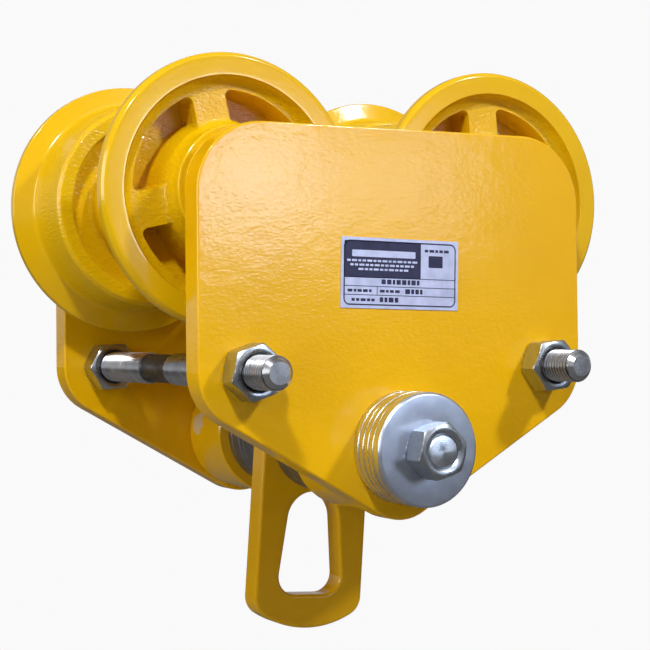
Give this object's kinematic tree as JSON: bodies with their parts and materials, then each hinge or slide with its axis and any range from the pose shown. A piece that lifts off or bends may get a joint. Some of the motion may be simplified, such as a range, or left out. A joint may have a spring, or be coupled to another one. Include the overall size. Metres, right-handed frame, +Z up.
{
  "type": "beam trolley",
  "caption": "Push-travel trolley that rolls on an I-beam's lower flange: side plates with flanged wheels, joined by tie rods, carrying a hanging lug on a cross shaft.",
  "frame": {"origin": "centre of the plane in which the four wheel treads rest on the beam's lower flange, midway between the side plates and between the wheel axles", "axes": "+X along the beam, +Y from the front side plate to the rear one, +Z up"},
  "size_m": [0.3184, 0.2992, 0.3248],
  "materials": {
    "yellow_paint": "gloss, slight orange peel",
    "wheel_paint": "gloss over rough cast iron",
    "zinc_plate": "bright zinc plate",
    "dull_zinc": "dull zinc plate",
    "machined_steel": "turned, lightly oiled",
    "bearing_steel": "ground and polished",
    "spring_steel": "phosphated black",
    "label_foil": "printed satin foil"
  },
  "bodies": {
    "frame": {"side_plate_front": "yellow_paint", "side_plate_rear": "yellow_paint", "shaft_boss_front": "yellow_paint", "shaft_boss_rear": "yellow_paint", "end_disc_front": "zinc_plate", "end_disc_rear": "zinc_plate", "shaft_nut_front": "zinc_plate", "shaft_nut_rear": "zinc_plate", "rating_label": "label_foil", "tie_rod_left": "zinc_plate", "tie_rod_right": "zinc_plate", "tie_rod_outer_nuts": "zinc_plate", "tie_rod_inner_nuts": "zinc_plate", "load_shaft": "machined_steel", "outer_washers_front": "zinc_plate", "outer_washers_rear": "zinc_plate", "inner_washers_front": "dull_zinc", "inner_washers_rear": "dull_zinc", "wheel_axle_front_left": "machined_steel", "bearing_inner_rings_front_left": "bearing_steel", "axle_circlip_front_left": "spring_steel", "wheel_axle_front_right": "machined_steel", "bearing_inner_rings_front_right": "bearing_steel", "axle_circlip_front_right": "spring_steel", "wheel_axle_rear_left": "machined_steel", "bearing_inner_rings_rear_left": "bearing_steel", "axle_circlip_rear_left": "spring_steel", "wheel_axle_rear_right": "machined_steel", "bearing_inner_rings_rear_right": "bearing_steel", "axle_circlip_rear_right": "spring_steel"},
    "wheel_front_left": {"wheel_casting_front_left": "wheel_paint", "bearing_outer_rings_front_left": "bearing_steel", "bearing_balls_front_left": "bearing_steel", "hub_circlip_front_left": "spring_steel", "hub_cap_front_left": "yellow_paint"},
    "wheel_front_right": {"wheel_casting_front_right": "wheel_paint", "bearing_outer_rings_front_right": "bearing_steel", "bearing_balls_front_right": "bearing_steel", "hub_circlip_front_right": "spring_steel", "hub_cap_front_right": "yellow_paint"},
    "wheel_rear_left": {"wheel_casting_rear_left": "wheel_paint", "bearing_outer_rings_rear_left": "bearing_steel", "bearing_balls_rear_left": "bearing_steel", "hub_circlip_rear_left": "spring_steel", "hub_cap_rear_left": "yellow_paint"},
    "wheel_rear_right": {"wheel_casting_rear_right": "wheel_paint", "bearing_outer_rings_rear_right": "bearing_steel", "bearing_balls_rear_right": "bearing_steel", "hub_circlip_rear_right": "spring_steel", "hub_cap_rear_right": "yellow_paint"},
    "lug": {"suspension_lug": "yellow_paint"}
  },
  "joints": [
    {"name": "wheel_spin_front_left", "type": "hinge", "parent": "frame", "child": "wheel_front_left", "pos_m": [-0.0845, -0.055, 0.061], "axis": [0, 1, 0], "continuous": true},
    {"name": "wheel_spin_front_right", "type": "hinge", "parent": "frame", "child": "wheel_front_right", "pos_m": [0.0845, -0.055, 0.061], "axis": [0, 1, 0], "continuous": true},
    {"name": "wheel_spin_rear_left", "type": "hinge", "parent": "frame", "child": "wheel_rear_left", "pos_m": [-0.0845, 0.055, 0.061], "axis": [0, 1, 0], "continuous": true},
    {"name": "wheel_spin_rear_right", "type": "hinge", "parent": "frame", "child": "wheel_rear_right", "pos_m": [0.0845, 0.055, 0.061], "axis": [0, 1, 0], "continuous": true},
    {"name": "lug_swing", "type": "hinge", "parent": "frame", "child": "lug", "pos_m": [0, -0.005, -0.0775], "axis": [0, 1, 0], "range_deg": [-91.4, 82.6]}
  ]
}
